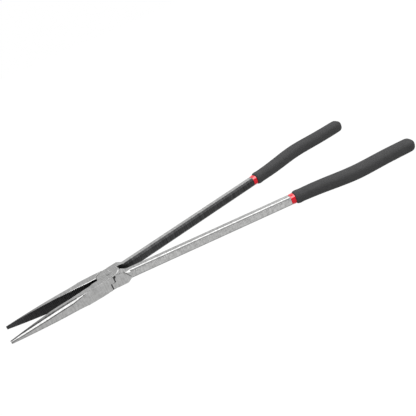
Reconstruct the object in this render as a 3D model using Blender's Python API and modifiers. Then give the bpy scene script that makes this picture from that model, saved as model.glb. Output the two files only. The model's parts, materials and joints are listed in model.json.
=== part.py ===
"""Long-reach needle-nose pliers: two forged halves lapped on a flush rivet, with two-layer grips.

X runs from the jaw tips (-X) to the grips (+X), Y across the opening, and Z along the rivet.
Every piece is modelled in the closed tool, as it sits on the upper half, whose jaw is on -Y and
whose handle is on +Y. The lower half is the same forging turned over about X. Two empties on the
rivet's axis then swing the halves apart, and a third stands the tool on the origin.
"""

import math

import bmesh
import bpy
from mathutils import Matrix, Vector

MM = 0.001

# The whole tool
JAW_LENGTH = 148.0 * MM  # rivet to jaw tip
HANDLE_LENGTH = 462.0 * MM  # rivet to the end of the grip
SWING = math.radians(7.9)  # each half's turn away from closed
FIT = 0.3 * MM  # gap left between pieces that touch

# Lap joint
HEAD_RADIUS = 16.4 * MM
HEAD_THICKNESS = 18.6 * MM
OPENING_RANGE = math.radians(43.0)  # closed jaws to the shoulders meeting
RIM_BEVEL = 1.2 * MM
SEAM_BEVEL = 0.4 * MM
EDGE_BREAK = 0.4 * MM  # on the long edges of the head

# Jaws
TIP_WIDTH = 2.7 * MM
TIP_THICKNESS = 4.6 * MM
JAW_TAPER_END = 0.86  # share of the jaw, from its tip, that tapers
JAW_SWELL = 1.5 * MM  # outward bow of the jaw's back, half way along
JAW_CHAMFER = 3.0 * MM
TIP_CHAMFER = 1.0 * MM
CHAMFER_END = 40.0 * MM  # rivet to where the jaw's chamfer has run out
CHAMFER_FADE = 60.0 * MM
JAW_RELIEF = 1.2 * MM  # how far the gripping face falls back at its root
RELIEF_LENGTH = 22.0 * MM
FACE_BREAK_ROOT = 0.9 * MM  # on the edges of the gripping face
FACE_BREAK_TIP = 0.2 * MM
TOOTH_PITCH = 2.4 * MM
TOOTH_DEPTH = 0.7 * MM
SMOOTH_TIP = 1.5 * MM  # bare face ahead of the first tooth
SMOOTH_ROOT = 12.0 * MM  # bare face between the last tooth and the joint

# Octagonal handle bars
BAR_WIDTH = 13.0 * MM
BAR_CHAMFER = 2.7 * MM
BAR_SPLAY = math.radians(2.5)  # bar's lean away from X in the closed tool
BAR_GAP = 4.4 * MM  # between the two bars where they leave the head
SHOULDER_START = 3.4 * MM  # head's full thickness beyond its rim, on the plate's side
SHOULDER_LENGTH = 8.3 * MM
RECESS_SHOULDER = 7.5 * MM  # length of the shoulder on the recess's side
SHOULDER_STEPS = 8
TANG_WIDTH = 10.5 * MM  # bar inside the sleeve

# Rivet
SHANK_RADIUS = 4.5 * MM
RIVET_HEAD_RADIUS = 6.0 * MM
COUNTERSINK = 2.0 * MM

# Red inner sleeves
BAND_START = 266.4 * MM  # rivet to the front of the red band
BAND_LENGTH = 5.9 * MM
SLEEVE_WALL = 0.7 * MM
BAND_WALL_FRONT = 1.1 * MM
BAND_WALL_BACK = 1.6 * MM

# Black outer grips, and the handle's bend inside them
HANDLE_BOW = 6.5 * MM  # outward, for the palm
HANDLE_TURN_IN = 3.0 * MM  # inward, at the end
BOW_STEPS = 16
GRIP_END_WALL = 9.0 * MM
GRIP_SIDES = 28
GRIP_SQUARENESS = 2.5  # exponent of the section: 2 is an ellipse
# Share of the bore's length, then the wall over the bore at the sides and at the top
GRIP_STATIONS = (
    (0.000, 1.85 * MM, 1.15 * MM),
    (0.016, 2.95 * MM, 2.05 * MM),
    (0.035, 3.15 * MM, 2.20 * MM),
    (0.055, 2.75 * MM, 1.85 * MM),
    (0.210, 3.50 * MM, 2.30 * MM),
    (0.420, 4.40 * MM, 2.60 * MM),
    (0.580, 4.60 * MM, 2.70 * MM),
    (0.790, 4.30 * MM, 2.65 * MM),
    (1.000, 4.10 * MM, 2.60 * MM),
)
GRIP_STEPS = 3  # rings between stations
GRIP_END_STEPS = 5
GRIP_END_ANGLE = math.radians(82.0)  # how far the round end turns before its small flat

# Sizes that follow from those above
HALF_HEAD = HEAD_THICKNESS / 2
RECESS_RADIUS = HEAD_RADIUS + FIT
HEAD_FLAT = RECESS_RADIUS * math.cos(OPENING_RANGE / 2)  # the shoulders meet at half the range
HEAD_EDGE = math.sqrt(HEAD_RADIUS**2 - HEAD_FLAT**2)  # where the flat runs out into the rim
JAW_ROOT = HEAD_RADIUS + SHOULDER_START
BAR_START = HEAD_RADIUS + SHOULDER_START + SHOULDER_LENGTH
BAR_OFFSET = (BAR_GAP + BAR_WIDTH) / 2
BAND_END = BAND_START + BAND_LENGTH
GRIP_START = BAND_END + FIT
BORE_END = HANDLE_LENGTH - GRIP_END_WALL
BAR_END = BORE_END - FIT
GRIP_BORE_WALL = 2 * FIT + SLEEVE_WALL  # tang to the grip's bore
GRIP_BORE = TANG_WIDTH + 2 * GRIP_BORE_WALL
TANG_CHAMFER = BAR_CHAMFER * TANG_WIDTH / BAR_WIDTH
STEEL = ((0.56, 0.56, 0.55, 1), 0.35, 1.0)
RIVET_STEEL = ((0.5, 0.5, 0.5, 1), 0.3, 1.0)
RED_PLASTIC = ((0.75, 0.03, 0.05, 1), 0.25, 0.0)
BLACK_FOAM = ((0.035, 0.035, 0.037, 1), 0.75, 0.0)


def clear_scene():
    for old in list(bpy.data.objects):
        bpy.data.objects.remove(old, do_unlink=True)


def make_collection(name):
    collection = bpy.data.collections.new(name)
    bpy.context.scene.collection.children.link(collection)
    return collection


def make_material(name, look):
    colour, roughness, metallic = look
    material = bpy.data.materials.new(name)
    material.use_nodes = True
    shader = material.node_tree.nodes["Principled BSDF"]
    shader.inputs["Base Color"].default_value = colour
    shader.inputs["Roughness"].default_value = roughness
    shader.inputs["Metallic"].default_value = metallic
    return material


def add_empty(name, collection):
    empty = bpy.data.objects.new(name, None)
    empty.empty_display_size = HEAD_RADIUS
    collection.objects.link(empty)
    return empty


def add_object(name, bm, collection, parent):
    """Turns a bmesh into an object on its parent's axis, with its faces pointing out."""
    bmesh.ops.recalc_face_normals(bm, faces=bm.faces)
    mesh = bpy.data.meshes.new(name)
    bm.to_mesh(mesh)
    bm.free()
    obj = bpy.data.objects.new(name, mesh)
    obj.parent = parent
    collection.objects.link(obj)
    return obj


def finish_part(obj, material, sharp_angle=30.0):
    obj.data.materials.append(material)
    obj.data.shade_smooth()
    obj.data.set_sharp_from_angle(angle=math.radians(sharp_angle))


def mark_as_cutter(obj):
    obj.hide_render = True
    obj.display_type = "WIRE"


def boolean(obj, operand, operation):
    mark_as_cutter(operand)
    modifier = obj.modifiers.new(f"{operation.title()} {operand.name}", "BOOLEAN")
    modifier.operation = operation
    modifier.solver = "EXACT"
    modifier.object = operand


def loft(rings):
    """Skins a row of rings that have the same number of points, and caps its ends."""
    bm = bmesh.new()
    loops = [[bm.verts.new(point) for point in ring] for ring in rings]
    for near, far in zip(loops, loops[1:]):
        for i in range(len(near)):
            j = (i + 1) % len(near)
            bm.faces.new((near[i], near[j], far[j], far[i]))
    bm.faces.new(loops[0])
    bm.faces.new(loops[-1])
    return bm


def extrude_outline(outline, height):
    """Stands an outline of (x, y) points up along Z, centred on Z = 0."""
    bm = bmesh.new()
    face = bm.faces.new([bm.verts.new((x, y, -height / 2)) for x, y in outline])
    top = bmesh.ops.extrude_face_region(bm, geom=[face])["geom"]
    moved = [item for item in top if isinstance(item, bmesh.types.BMVert)]
    bmesh.ops.translate(bm, verts=moved, vec=(0, 0, height))
    return bm


def turn_profile(name, profile, collection, parent, steps=64):
    """Turns a profile of (radius, z) points about Z with a Screw modifier."""
    bm = bmesh.new()
    points = [bm.verts.new((radius, 0, z)) for radius, z in profile]
    for a, b in zip(points, points[1:]):
        bm.edges.new((a, b))
    obj = add_object(name, bm, collection, parent)
    screw = obj.modifiers.new("Turn", "SCREW")
    screw.steps = steps
    screw.render_steps = steps
    screw.use_merge_vertices = True
    screw.merge_threshold = 0.00001
    return obj


def ease(share):
    """Smooth step from 0 to 1."""
    share = min(max(share, 0.0), 1.0)
    return share * share * (3 - 2 * share)


def jaw_ring(along):
    """Section of the jaw at a distance from the rivet: flat gripping face, chamfered back."""
    share = (JAW_LENGTH - along) / (JAW_LENGTH - JAW_ROOT)
    share = min(share, 1.0)
    width = TIP_WIDTH + (HEAD_FLAT - TIP_WIDTH) * share + JAW_SWELL * math.sin(math.pi * share)
    rise = min((JAW_LENGTH - along) / (JAW_LENGTH * JAW_TAPER_END), 1.0)
    thickness = TIP_THICKNESS + (HEAD_THICKNESS - TIP_THICKNESS) * (1 - (1 - rise) ** 2)
    run_out = min(max((along - CHAMFER_END) / CHAMFER_FADE, 0.0), 1.0)
    widest = TIP_CHAMFER + (JAW_CHAMFER - TIP_CHAMFER) * ease(rise / 0.4)
    cut = EDGE_BREAK + (widest - EDGE_BREAK) * run_out
    relief = JAW_RELIEF * (1 - ease((along - RECESS_RADIUS) / RELIEF_LENGTH))
    face_break = FACE_BREAK_TIP + (FACE_BREAK_ROOT - FACE_BREAK_TIP) * rise
    half = thickness / 2
    back = -width
    face = -FIT / 2 - relief
    section = (
        (face, half - face_break),
        (face - face_break, half),
        (back + cut, half),
        (back, half - cut),
        (back, cut - half),
        (back + cut, -half),
        (face - face_break, -half),
        (face, face_break - half),
    )
    return [(-along, y, z) for y, z in section]


def make_jaw(name, collection, parent):
    steps = 24
    rings = []
    for step in range(steps + 1):
        rings.append(jaw_ring(JAW_LENGTH + (JAW_ROOT - JAW_LENGTH) * step / steps))
    rings.append(jaw_ring(HEAD_EDGE))
    return add_object(name, loft(rings), collection, parent)


def octagon(centre, width, chamfer):
    """Chamfered square section as (y, z) points."""
    side = width / 2
    near = centre - side
    far = centre + side
    return (
        (far, side - chamfer),
        (far - chamfer, side),
        (near + chamfer, side),
        (near, side - chamfer),
        (near, chamfer - side),
        (near + chamfer, -side),
        (far - chamfer, -side),
        (far, chamfer - side),
    )


def bar_centre(x):
    """Distance of the bar's middle from X: a straight run, then the bow inside the grip."""
    share = min(max((x - GRIP_START) / (BORE_END - GRIP_START), 0.0), 1.0)
    bow = HANDLE_BOW * math.sin(math.pi * share) ** 4 - HANDLE_TURN_IN * share**5
    return BAR_OFFSET + (x - BAR_START) * math.tan(BAR_SPLAY) + bow


def bar_stops(start, end):
    """Where rings round the tang stand: both ends, and shared steps along the bow."""
    step = (BORE_END - GRIP_START) / BOW_STEPS
    stops = [GRIP_START + step * count for count in range(BOW_STEPS + 1)]
    return [start] + [x for x in stops if start + FIT < x < end - FIT] + [end]


def tang_shell(x, wall):
    """Ring round the tang at x, a wall's thickness outside it."""
    section = octagon(bar_centre(x), TANG_WIDTH + 2 * wall, TANG_CHAMFER + wall * (2 - math.sqrt(2)))
    return [(x, y, z) for y, z in section]


def handle_ring(x):
    """Section of the handle's root: the head's thickness, then a shoulder down to the bar.

    +Z is the plate's side. On the recess's side the shoulder starts at the rim.
    """
    fall = ease((x - HEAD_RADIUS - SHOULDER_START) / SHOULDER_LENGTH)
    recess_fall = ease((x - HEAD_RADIUS) / RECESS_SHOULDER)
    outer = HEAD_FLAT + (BAR_OFFSET + BAR_WIDTH / 2 - HEAD_FLAT) * fall
    inner = BAR_OFFSET - BAR_WIDTH / 2
    top = HALF_HEAD + (BAR_WIDTH / 2 - HALF_HEAD) * fall
    bottom = -HALF_HEAD - (BAR_WIDTH / 2 - HALF_HEAD) * recess_fall
    cut = EDGE_BREAK + (BAR_CHAMFER - EDGE_BREAK) * fall
    section = (
        (outer, top - cut),
        (outer - cut, top),
        (inner + cut, top),
        (inner, top - cut),
        (inner, bottom + cut),
        (inner + cut, bottom),
        (outer - cut, bottom),
        (outer, bottom + cut),
    )
    return [(x, y, z) for y, z in section]


def make_handle(name, collection, parent):
    """Shoulder, bar and the slimmer tang that goes into the sleeve."""
    rings = [handle_ring(HEAD_EDGE)]
    for step in range(SHOULDER_STEPS + 1):
        rings.append(handle_ring(HEAD_RADIUS + (BAR_START - HEAD_RADIUS) * step / SHOULDER_STEPS))
    bar_end = octagon(bar_centre(BAND_START), BAR_WIDTH, BAR_CHAMFER)
    rings.append([(BAND_START, y, z) for y, z in bar_end])
    rings += [tang_shell(x, 0) for x in bar_stops(BAND_START, BAR_END)]
    return add_object(name, loft(rings), collection, parent)


def make_head_disc(name, collection, parent):
    """The round lap plate before it is halved: full thickness, bevelled on its upper rim."""
    profile = (
        (0, HALF_HEAD),
        (HEAD_RADIUS - RIM_BEVEL, HALF_HEAD),
        (HEAD_RADIUS, HALF_HEAD - RIM_BEVEL),
        (HEAD_RADIUS, 0),
        (0, 0),
    )
    return turn_profile(name, profile, collection, parent, steps=72)


def make_recess_cutter(name, collection, parent):
    """Clears the other half's plate: everything below the mid-plane, out to the recess wall."""
    floor = -HEAD_THICKNESS
    flare = RECESS_RADIUS + SEAM_BEVEL
    profile = (
        (0, FIT / 2),
        (RECESS_RADIUS, FIT / 2),
        (RECESS_RADIUS, SEAM_BEVEL - HALF_HEAD),
        (flare, -HALF_HEAD),
        (flare, floor),
        (0, floor),
    )
    return turn_profile(name, profile, collection, parent, steps=72)


def make_hole_cutter(name, collection, parent):
    """Rivet hole with its countersink in the upper face."""
    shank = SHANK_RADIUS + FIT
    head = RIVET_HEAD_RADIUS + FIT
    profile = (
        (0, HEAD_THICKNESS),
        (head, HEAD_THICKNESS),
        (head, HALF_HEAD),
        (shank, HALF_HEAD - COUNTERSINK),
        (shank, -HEAD_THICKNESS),
        (0, -HEAD_THICKNESS),
    )
    return turn_profile(name, profile, collection, parent, steps=48)


def make_teeth_cutter(name, collection, parent):
    """Saw-toothed bar that cuts the grooves across the gripping face."""
    face = -FIT / 2
    start = SMOOTH_TIP - JAW_LENGTH
    length = JAW_LENGTH - SMOOTH_TIP - RECESS_RADIUS - SMOOTH_ROOT
    count = int(length / TOOTH_PITCH)
    above = TOOTH_PITCH
    outline = [(start, above), (start, face)]
    for tooth in range(count):
        x = start + tooth * TOOTH_PITCH
        outline.append((x + TOOTH_PITCH / 2, face - TOOTH_DEPTH))
        outline.append((x + TOOTH_PITCH, face))
    outline.append((start + count * TOOTH_PITCH, above))
    return add_object(name, extrude_outline(outline, HEAD_THICKNESS * 2), collection, parent)


def make_half(name, parent, parts, cutters, material):
    """One forging: a tapered jaw and a shouldered bar joined by a half-thickness plate."""
    half = make_jaw(name, parts, parent)
    boolean(half, make_handle(f"{name}.handle", cutters, parent), "UNION")
    boolean(half, make_head_disc(f"{name}.head", cutters, parent), "UNION")
    boolean(half, make_recess_cutter(f"{name}.recess", cutters, parent), "DIFFERENCE")
    boolean(half, make_hole_cutter(f"{name}.hole", cutters, parent), "DIFFERENCE")
    boolean(half, make_teeth_cutter(f"{name}.teeth", cutters, parent), "DIFFERENCE")
    finish_part(half, material)
    return half


def make_rivet(name, parent, parts, material):
    profile = (
        (0, HALF_HEAD),
        (RIVET_HEAD_RADIUS, HALF_HEAD),
        (SHANK_RADIUS, HALF_HEAD - COUNTERSINK),
        (SHANK_RADIUS, COUNTERSINK - HALF_HEAD),
        (RIVET_HEAD_RADIUS, -HALF_HEAD),
        (0, -HALF_HEAD),
    )
    rivet = turn_profile(name, profile, parts, parent, steps=48)
    finish_part(rivet, material)
    return rivet


def make_bore_cutter(name, wall, start, end, collection, parent):
    rings = [tang_shell(x, wall) for x in bar_stops(start, end)]
    return add_object(name, loft(rings), collection, parent)


def make_sleeve(name, parent, parts, cutters, material):
    """Red sleeve on the tang: a flared band ahead of the grip, then a thin tube under it."""
    start = BAND_START + FIT
    rings = [tang_shell(start, FIT + BAND_WALL_FRONT), tang_shell(BAND_END, FIT + BAND_WALL_BACK)]
    rings += [tang_shell(x, FIT + SLEEVE_WALL) for x in bar_stops(BAND_END, BAR_END)]
    sleeve = add_object(name, loft(rings), parts, parent)
    bore = make_bore_cutter(f"{name}.bore", FIT, start - FIT, BAR_END + FIT, cutters, parent)
    boolean(sleeve, bore, "DIFFERENCE")
    finish_part(sleeve, material)
    return sleeve


def grip_section(x, width, thickness):
    """Rounded section of the grip, drawn as a superellipse."""
    ring = []
    for side in range(GRIP_SIDES):
        angle = 2 * math.pi * side / GRIP_SIDES
        c = math.cos(angle)
        s = math.sin(angle)
        y = math.copysign(abs(c) ** (2 / GRIP_SQUARENESS), c) * width / 2
        z = math.copysign(abs(s) ** (2 / GRIP_SQUARENESS), s) * thickness / 2
        ring.append((x, bar_centre(x) + y, z))
    return ring


def grip_rings():
    """Rings from the grip's mouth to where its bore ends, then round its closed end."""
    length = BORE_END - GRIP_START
    rings = []
    for near, far in zip(GRIP_STATIONS, GRIP_STATIONS[1:]):
        for step in range(GRIP_STEPS):
            share, side, top = [a + (b - a) * step / GRIP_STEPS for a, b in zip(near, far)]
            rings.append(grip_section(GRIP_START + length * share, GRIP_BORE + 2 * side, GRIP_BORE + 2 * top))
    side, top = GRIP_STATIONS[-1][1:]
    for step in range(GRIP_END_STEPS + 1):
        angle = GRIP_END_ANGLE * step / GRIP_END_STEPS
        x = BORE_END + GRIP_END_WALL * math.sin(angle) / math.sin(GRIP_END_ANGLE)
        shrink = math.cos(angle)
        rings.append(grip_section(x, (GRIP_BORE + 2 * side) * shrink, (GRIP_BORE + 2 * top) * shrink))
    return rings


def make_grip(name, parent, parts, cutters, material):
    """Black grip over the sleeve: a bead at its mouth, bowed for the palm, with a round end."""
    grip = add_object(name, loft(grip_rings()), parts, parent)
    start = GRIP_START - FIT
    bore = make_bore_cutter(f"{name}.bore", GRIP_BORE_WALL, start, BORE_END, cutters, parent)
    boolean(grip, bore, "DIFFERENCE")
    finish_part(grip, material, sharp_angle=50.0)
    return grip


def stand_on_origin(stand, parts):
    """Moves the tool so that the middle of its underside is the origin."""
    bpy.context.view_layer.update()
    depsgraph = bpy.context.evaluated_depsgraph_get()
    corners = []
    for obj in parts.objects:
        if obj.type == "MESH":
            shape = obj.evaluated_get(depsgraph)
            corners += [shape.matrix_world @ vertex.co for vertex in shape.data.vertices]
    low = Vector([min(corner[axis] for corner in corners) for axis in range(3)])
    high = Vector([max(corner[axis] for corner in corners) for axis in range(3)])
    middle = (low + high) / 2
    stand.location = (-middle.x, -middle.y, -low.z)
    bpy.context.view_layer.update()


def main():
    clear_scene()
    parts = make_collection("Long-reach needle-nose pliers")
    cutters = make_collection("Cutters")
    steel = make_material("Ground steel", STEEL)
    rivet_steel = make_material("Rivet steel", RIVET_STEEL)
    red = make_material("Red sleeve", RED_PLASTIC)
    black = make_material("Black grip", BLACK_FOAM)

    stand = add_empty("stand", parts)
    turns = {"upper": (0, 0, SWING), "lower": (math.pi, 0, -SWING)}
    for side, turn in turns.items():
        pivot = add_empty(f"{side}_pivot", parts)
        pivot.parent = stand
        pivot.rotation_euler = turn
        make_half(f"{side}_half", pivot, parts, cutters, steel)
        make_sleeve(f"{side}_inner_sleeve", pivot, parts, cutters, red)
        make_grip(f"{side}_grip", pivot, parts, cutters, black)
    make_rivet("pivot_rivet", bpy.data.objects["lower_pivot"], parts, rivet_steel)
    stand_on_origin(stand, parts)


main()
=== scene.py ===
"""Long-reach needle-nose pliers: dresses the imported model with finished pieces, materials and a stage.

The tool lies along X, with its tips at -X. Every piece is modelled in the closed tool and measured from
the rivet, as it sits on the upper half: the jaw on -Y and the handle on +Y. half_place() then turns it to
where the upper or the lower half lies.
"""

import json
import math

import bmesh
import bpy
from bpy.props import FloatProperty, FloatVectorProperty, PointerProperty
from bpy.types import Operator, Panel, PropertyGroup
from mathutils import Matrix, Vector


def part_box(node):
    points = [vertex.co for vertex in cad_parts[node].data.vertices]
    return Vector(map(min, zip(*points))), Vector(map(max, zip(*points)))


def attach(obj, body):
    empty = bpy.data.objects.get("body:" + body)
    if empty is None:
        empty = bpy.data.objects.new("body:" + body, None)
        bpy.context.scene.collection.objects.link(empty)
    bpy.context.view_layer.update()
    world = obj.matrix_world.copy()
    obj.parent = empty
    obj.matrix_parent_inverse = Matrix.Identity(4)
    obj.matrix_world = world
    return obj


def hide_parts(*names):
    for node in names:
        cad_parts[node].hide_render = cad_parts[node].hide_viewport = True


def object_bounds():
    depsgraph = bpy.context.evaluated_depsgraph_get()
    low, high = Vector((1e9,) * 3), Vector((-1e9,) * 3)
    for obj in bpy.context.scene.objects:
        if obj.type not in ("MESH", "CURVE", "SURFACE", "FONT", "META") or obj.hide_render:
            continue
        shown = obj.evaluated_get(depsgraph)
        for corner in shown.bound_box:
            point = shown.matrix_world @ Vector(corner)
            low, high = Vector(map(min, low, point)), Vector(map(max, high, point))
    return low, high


bl_info = {
    "name": "Long-reach pliers dressing",
    "version": (1, 0, 0),
    "blender": (4, 5, 0),
    "location": "3D View > Sidebar > Pliers",
    "description": "Finishes the steel halves, rivet, red sleeves and black grips, and sets the stage",
    "category": "Object",
}

MM = 0.001
SIDES = ("upper", "lower")

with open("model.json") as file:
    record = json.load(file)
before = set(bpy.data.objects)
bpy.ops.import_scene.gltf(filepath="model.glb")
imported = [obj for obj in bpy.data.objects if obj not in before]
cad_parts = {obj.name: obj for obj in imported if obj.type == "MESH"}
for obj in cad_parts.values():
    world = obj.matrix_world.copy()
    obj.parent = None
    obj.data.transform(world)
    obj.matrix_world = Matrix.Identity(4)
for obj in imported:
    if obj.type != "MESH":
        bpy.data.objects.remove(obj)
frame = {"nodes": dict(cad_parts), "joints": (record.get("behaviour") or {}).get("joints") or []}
CAD_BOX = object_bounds()
HINGE = frame["joints"][0]
PIVOT = Vector(HINGE["pos_m"])
SWING = math.radians(-HINGE["range_deg"][0]) / 2  # each half's turn away from closed
HALF_HEAD = PIVOT.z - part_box("lower_half")[0].z


# ---------------------------------------------------------------- sizes and colours


class PliersSizes(PropertyGroup):
    edge_round: FloatProperty(
        name="Edge rounding",
        description="Radius left by the grinder on the long edges of the halves",
        default=0.3 * MM, min=0.05 * MM, max=0.8 * MM, unit="LENGTH", precision=5,
    )
    jaw_flank: FloatProperty(
        name="Jaw flank",
        description="Worn facet beside the jaw's back, as a share of the chamfer",
        default=0.22, min=0.05, max=0.6,
    )
    jaw_shoulder: FloatProperty(
        name="Jaw shoulder",
        description="Worn facet beside the jaw's flat sides, as a share of the chamfer",
        default=0.5, min=0.05, max=0.6,
    )
    lower_chamfer: FloatProperty(
        name="Lower chamfer",
        description="Depth of the chamfer under each jaw's back, as a share of the one over it",
        default=0.62, min=0.2, max=1,
    )
    corner_drop: FloatProperty(
        name="Corner drop",
        description="How far the corner beside the gripping face is ground down near the root",
        default=1.4 * MM, unit="LENGTH", precision=5,
    )
    bar_flank: FloatProperty(
        name="Bar flank",
        description="How much further the grinder cuts the bar's outer chamfer into its flat side",
        default=1.0 * MM, unit="LENGTH", precision=5,
    )
    jaw_length: FloatProperty(
        name="Jaw length", description="Rivet to the tip of the jaw",
        default=148.0 * MM, unit="LENGTH", precision=4,
    )
    chamfer_end: FloatProperty(
        name="Jaw chamfer end",
        description="Distance from the rivet at which the chamfer of the jaw's back has run out",
        default=40.0 * MM, unit="LENGTH", precision=4,
    )
    bare_break: FloatProperty(
        name="Bright break",
        description="Distance from the rivet up to which the gripping face's broken edge is bright",
        default=50.0 * MM, unit="LENGTH", precision=4,
    )
    jaw_root: FloatProperty(
        name="Jaw root",
        description="Distance from the rivet at which the jaw and the handle leave the round plates",
        default=16.7 * MM, unit="LENGTH", precision=4,
    )
    head_radius: FloatProperty(
        name="Head radius", description="Radius of the round plates of the lap joint",
        default=16.4 * MM, unit="LENGTH", precision=4,
    )
    head_flat: FloatProperty(
        name="Head flat", description="Distance from the rivet to the head's flat sides",
        default=15.54 * MM, unit="LENGTH", precision=4,
    )
    rim_bevel: FloatProperty(
        name="Rim bevel", description="Bevel of the plate's rim as packed",
        default=1.2 * MM, unit="LENGTH", precision=4,
    )
    rim_width: FloatProperty(
        name="Rim slope width", description="Width of the finished slope round the plate",
        default=1.7 * MM, unit="LENGTH", precision=4,
    )
    rim_depth: FloatProperty(
        name="Rim slope depth", description="Depth of the finished slope round the plate",
        default=0.65 * MM, unit="LENGTH", precision=5,
    )
    bar_width: FloatProperty(
        name="Bar width",
        description="Across the flats of the octagonal handle bar",
        default=13.0 * MM, unit="LENGTH", precision=4,
    )
    bar_chamfer: FloatProperty(
        name="Bar chamfer",
        description="How much each corner of the bar is cut back",
        default=2.7 * MM, unit="LENGTH", precision=4,
    )
    bar_offset: FloatProperty(
        name="Bar offset",
        description="Bar's middle from the tool's centreline where it leaves the head",
        default=8.7 * MM, unit="LENGTH", precision=4,
    )
    bar_start: FloatProperty(
        name="Bar start",
        description="Distance from the rivet at which the bar has its full section",
        default=28.1 * MM, unit="LENGTH", precision=4,
    )
    bar_splay: FloatProperty(
        name="Bar splay",
        description="Lean of each bar away from the centreline in the closed tool",
        default=math.radians(2.5), subtype="ANGLE",
    )
    rivet_radius: FloatProperty(
        name="Rivet head radius",
        description="Radius of the rivet's head, which fills its countersink",
        default=6.28 * MM, unit="LENGTH", precision=4,
    )
    rivet_shank: FloatProperty(
        name="Rivet shank radius",
        description="Radius of the rivet between its heads",
        default=4.5 * MM, unit="LENGTH", precision=4,
    )
    rivet_sink: FloatProperty(
        name="Rivet countersink",
        description="Depth of the rivet's head",
        default=2.0 * MM, unit="LENGTH", precision=4,
    )
    tang_width: FloatProperty(
        name="Tang width",
        description="Across the flats of the slimmer bar inside the sleeve",
        default=10.5 * MM, unit="LENGTH", precision=4,
    )
    band_start: FloatProperty(
        name="Band start",
        description="Distance from the rivet to the front of the red band",
        default=266.6 * MM, unit="LENGTH", precision=4,
    )
    band_length: FloatProperty(
        name="Band length",
        description="Length of red sleeve that shows ahead of the grip",
        default=5.9 * MM, unit="LENGTH", precision=4,
    )
    grip_start: FloatProperty(
        name="Grip start",
        description="Distance from the rivet to the mouth of the grip",
        default=272.6 * MM, unit="LENGTH", precision=4,
    )
    grip_end: FloatProperty(
        name="Grip end",
        description="Distance from the rivet to the end of the grip",
        default=462.0 * MM, unit="LENGTH", precision=4,
    )
    grip_end_wall: FloatProperty(
        name="Grip end wall",
        description="Length of the grip's closed round end",
        default=9.0 * MM, unit="LENGTH", precision=4,
    )
    handle_bow: FloatProperty(
        name="Handle bow",
        description="Outward bow of the handle inside the grip",
        default=6.5 * MM, unit="LENGTH", precision=4,
    )
    handle_turn_in: FloatProperty(
        name="Handle turn-in",
        description="Inward turn of the handle at its end",
        default=3.0 * MM, unit="LENGTH", precision=4,
    )


class PliersColours(PropertyGroup):
    steel: FloatVectorProperty(
        name="Ground steel", description="Outer faces of the halves, satin ground",
        subtype="COLOR", default=(0.56, 0.56, 0.555), min=0, max=1,
    )
    scale: FloatVectorProperty(
        name="Dark inner faces", description="Faces towards the other half, left dark from the forge",
        subtype="COLOR", default=(0.033, 0.033, 0.034), min=0, max=1,
    )
    red: FloatVectorProperty(
        name="Red sleeve", description="Glossy inner sleeve",
        subtype="COLOR", default=(0.84, 0.003, 0.02), min=0, max=1,
    )
    black: FloatVectorProperty(
        name="Black grip", description="Matte fine-celled outer grip",
        subtype="COLOR", default=(0.042, 0.042, 0.043), min=0, max=1,
    )


class PliersStage(PropertyGroup):
    drop: FloatProperty(
        name="Floor drop", description="Height at which the tool is held over the floor",
        default=0.45, unit="LENGTH",
    )
    lens: FloatProperty(name="Lens", description="Focal length", default=54.29, unit="CAMERA")
    camera_place: FloatVectorProperty(
        name="Camera place", description="Camera's place from the rivet",
        subtype="TRANSLATION", default=(-0.0623, -0.7643, 0.3876),
    )
    camera_turn: FloatProperty(
        name="Camera turn", description="Camera's heading, from +Y towards +X",
        subtype="ANGLE", default=math.radians(16.51),
    )
    camera_dip: FloatProperty(
        name="Camera dip", description="Camera's look down from level",
        subtype="ANGLE", default=math.radians(24.6),
    )
    camera_roll: FloatProperty(
        name="Camera roll", description="Camera's roll, which raises the handles to the right",
        subtype="ANGLE", default=math.radians(21.68),
    )
    white: FloatProperty(
        name="Backdrop white", description="Brightness of the floor and backdrop as the camera sees them",
        default=1.0, min=0, max=2,
    )
    fill: FloatProperty(
        name="Fill light", description="Even light from the surroundings",
        default=0.72, min=0, max=2,
    )
    lightbox: FloatProperty(
        name="Overhead lightbox", description="Power of the lightbox over the tool",
        default=10.0, unit="POWER",
    )


# ---------------------------------------------------------------- shader maths


class Maths:
    """A number in a shader. Python's operators on it add the shader's own Math nodes."""

    def __init__(self, graph, socket):
        self.graph = graph
        self.socket = socket

    def _join(self, operation, *values):
        sockets = dict(enumerate(values))
        return self.graph.add("ShaderNodeMath", {"operation": operation}, sockets)

    def __add__(self, other):
        return self._join("ADD", self, other)

    def __radd__(self, other):
        return self._join("ADD", other, self)

    def __sub__(self, other):
        return self._join("SUBTRACT", self, other)

    def __rsub__(self, other):
        return self._join("SUBTRACT", other, self)

    def __mul__(self, other):
        return self._join("MULTIPLY", self, other)

    def __truediv__(self, other):
        return self._join("DIVIDE", self, other)


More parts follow.
